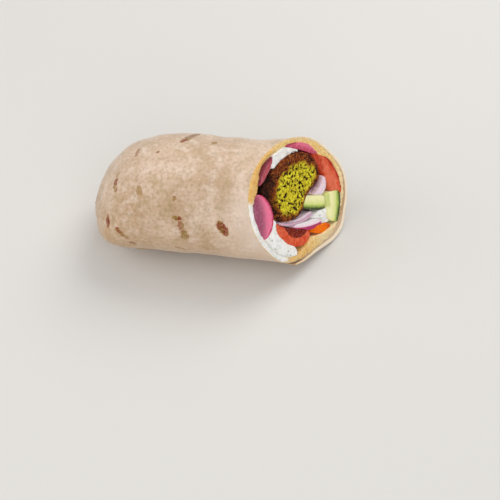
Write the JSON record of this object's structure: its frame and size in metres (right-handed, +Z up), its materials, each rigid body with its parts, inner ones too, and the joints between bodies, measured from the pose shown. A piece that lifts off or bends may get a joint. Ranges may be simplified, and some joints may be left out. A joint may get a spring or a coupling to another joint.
{
  "type": "falafel wrap half",
  "caption": "Half of a rolled flatbread wrap lying on its side, its slanted cut showing falafel, hummus, garlic sauce and raw vegetables; the other end is folded shut.",
  "frame": {"origin": "on the flat resting face on the underside, below the middle of the roll", "axes": "+X along the roll, from the folded end towards the slanted cut; +Z up from the resting face; +Y to the roll's back, so that the cut face looks towards -Y, +X and up"},
  "size_m": [0.1289, 0.0664, 0.061],
  "materials": {
    "flatbread": "soft matt flatbread, pale beige with toasted freckles, creamier at the cut edge",
    "hummus": "grainy golden spread, slightly moist",
    "garlic_sauce": "thick white sauce with grey-green herb flecks, wet sheen",
    "falafel": "dark brown fried crust with crags, broken face of yellow-green crumb with small holes",
    "radish": "pink pickled flesh with a magenta skin, wet",
    "tomato": "coral red flesh, deeper red pulp and skin, wet",
    "cucumber": "pale green flesh with a dark green skin, wet",
    "onion": "pinkish white layers with magenta skin edges, slightly clear",
    "carrot": "bright orange raw carrot, moist"
  },
  "bodies": {
    "root": {"flatbread": "flatbread", "hummus": "hummus", "garlic_sauce": "garlic_sauce", "falafel": "falafel", "radish_top": "radish", "radish_side": "radish", "radish_front": "radish", "tomato_upper": "tomato", "tomato_lower": "tomato", "cucumber_large": "cucumber", "cucumber_small": "cucumber", "onion_strip": "onion", "onion_skin": "onion", "onion_petal": "onion", "carrot": "carrot"}
  },
  "joints": []
}
